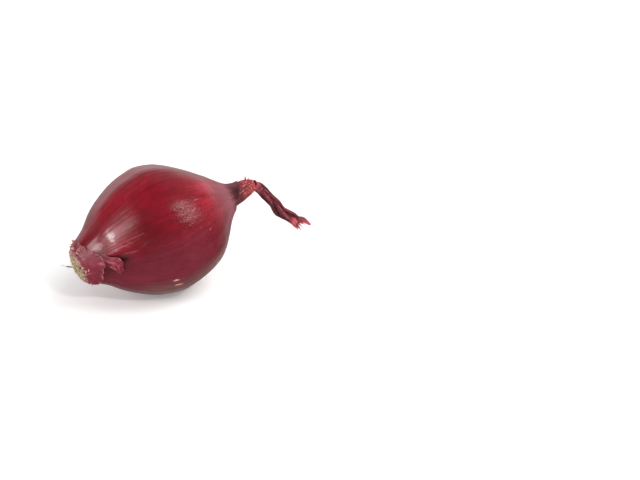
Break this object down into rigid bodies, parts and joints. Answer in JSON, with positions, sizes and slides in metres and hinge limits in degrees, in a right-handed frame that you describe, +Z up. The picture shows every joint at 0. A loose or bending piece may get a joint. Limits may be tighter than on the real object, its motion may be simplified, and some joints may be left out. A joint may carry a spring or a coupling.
{
  "type": "red onion",
  "caption": "Red onion lying on its side, with a root plate, torn outer skin, a ribbed neck sheath and twisted dry leaves; it rests on a small flat spot.",
  "frame": {"origin": "centre of the small flat spot that the bulb rests on", "axes": "+Z up; the onion's axis lies in the XZ plane, with its neck and dry leaves towards +X and its root end towards -X, 12.5 degrees lower"},
  "size_m": [0.1243, 0.0601, 0.0591],
  "materials": {
    "bulb_skin": "glossy dry red onion skin, dark maroon to crimson, with fine streaks from end to end",
    "root_plate": "matt tan fibrous root plate with dark pits",
    "outer_skin": "satin papery dry skin, rose maroon with pale torn edges",
    "neck_sheath": "matt ribbed dry leaf base, orange red with pale ribs",
    "dry_leaves": "matt twisted dry leaf, dark maroon with lighter red folds and pale frayed tips"
  },
  "bodies": {
    "root": {"bulb": "bulb_skin", "root_plate": "root_plate", "torn_outer_skin": "outer_skin", "neck_sheath": "neck_sheath", "dry_leaf_tail": "dry_leaves"}
  },
  "joints": []
}
